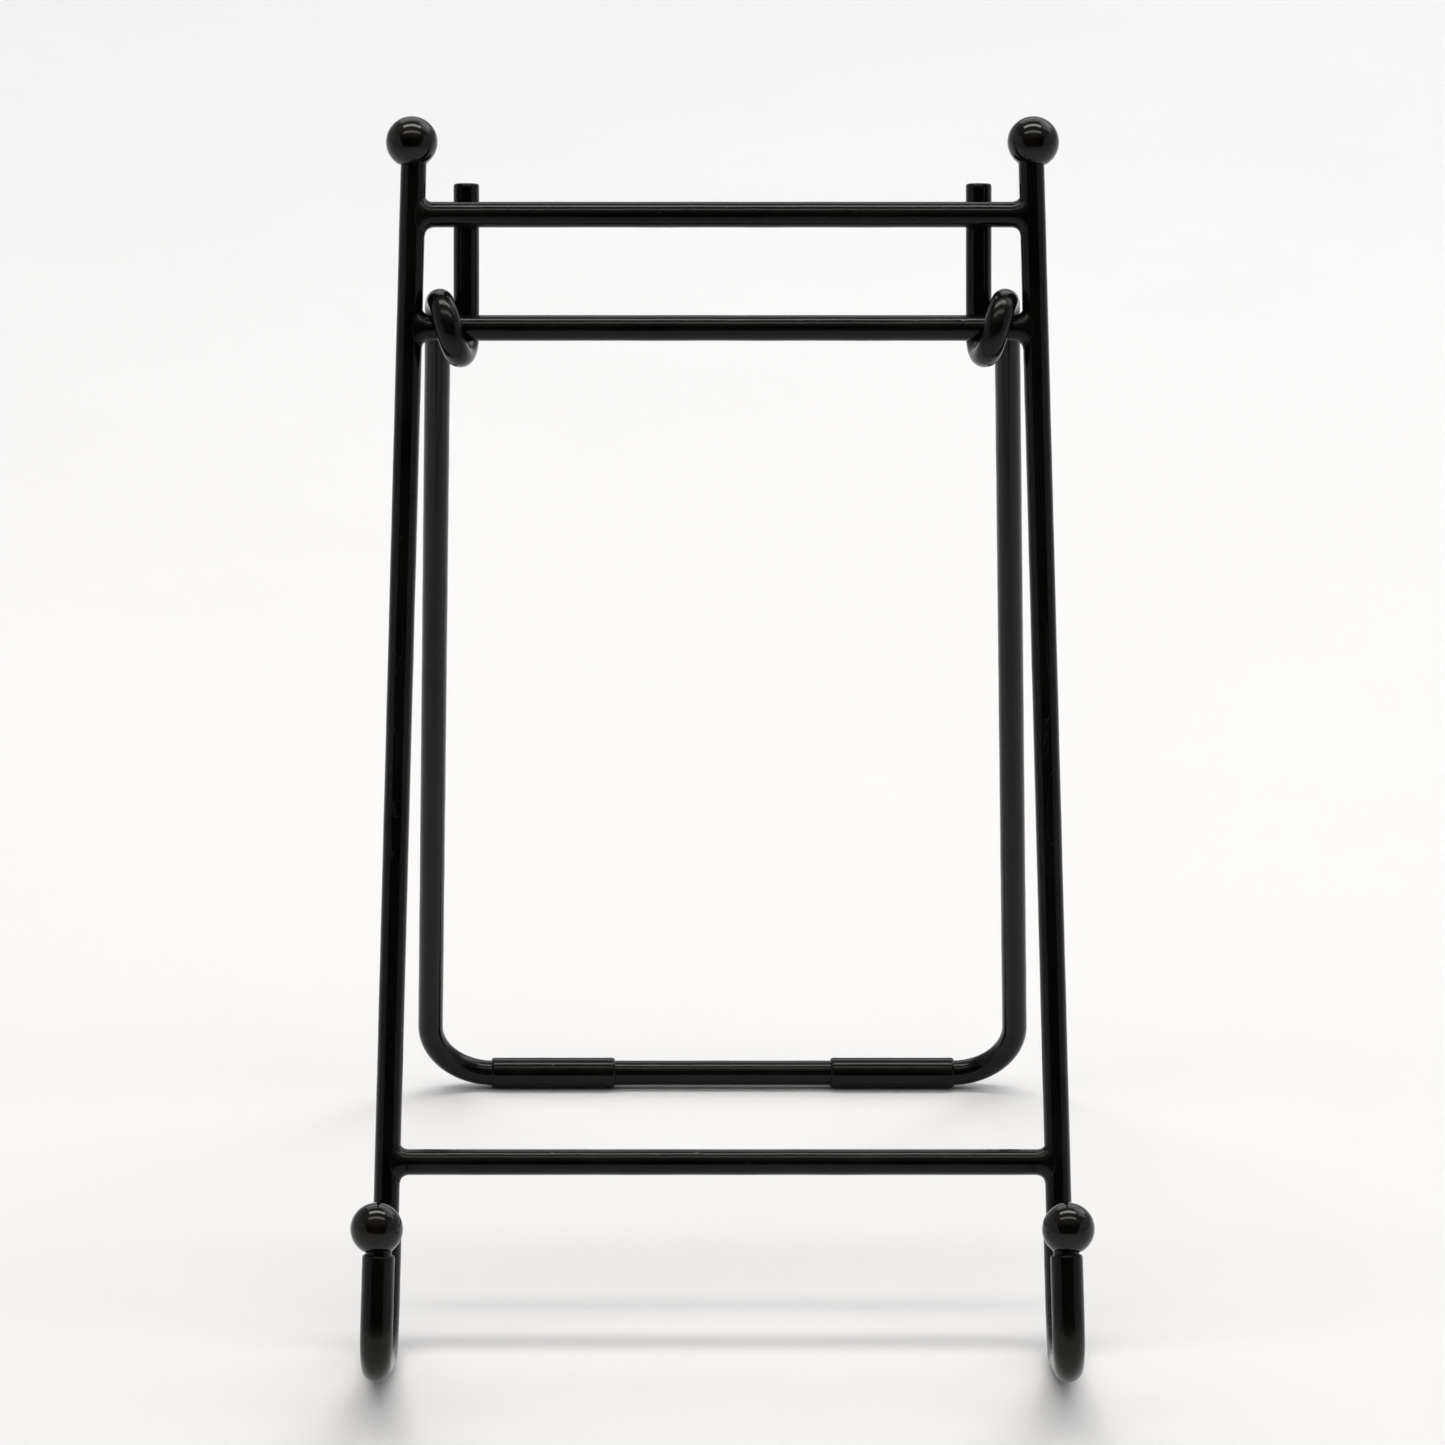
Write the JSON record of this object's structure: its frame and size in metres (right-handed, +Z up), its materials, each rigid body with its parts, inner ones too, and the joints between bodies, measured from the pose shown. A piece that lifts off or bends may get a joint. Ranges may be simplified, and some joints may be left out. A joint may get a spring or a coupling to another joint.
{
  "type": "plate display stand",
  "caption": "Folding black wire easel that holds a dinner plate upright: leaning frame with sleeved, ball-tipped hooks in front and a hinged rear leg behind.",
  "frame": {"origin": "on the ground plane under the middle of the open stand's bounding box", "axes": "+Z up, -Y towards the person who looks at the plate, +X to that person's right"},
  "size_m": [0.0902, 0.1222, 0.1438],
  "materials": {
    "black_enamel": "gloss black stoved enamel on steel wire",
    "black_vinyl": "soft satin-gloss black vinyl tube",
    "black_gloss": "polished gloss black"
  },
  "bodies": {
    "front_frame": {"left_side_wire": "black_enamel", "right_side_wire": "black_enamel", "left_hook_sleeve": "black_vinyl", "right_hook_sleeve": "black_vinyl", "left_hook_ball": "black_gloss", "right_hook_ball": "black_gloss", "left_top_ball": "black_gloss", "right_top_ball": "black_gloss", "top_cross_wire": "black_enamel", "hinge_rod": "black_enamel", "lower_cross_wire": "black_enamel"},
    "rear_leg": {"rear_leg_wire": "black_enamel", "left_rear_foot_sleeve": "black_vinyl", "right_rear_foot_sleeve": "black_vinyl"}
  },
  "joints": [
    {"name": "rear_leg_hinge", "type": "hinge", "parent": "front_frame", "child": "rear_leg", "pos_m": [0, 0.01296, 0.11902], "axis": [1, 0, 0], "range_deg": [-40, 0]}
  ]
}
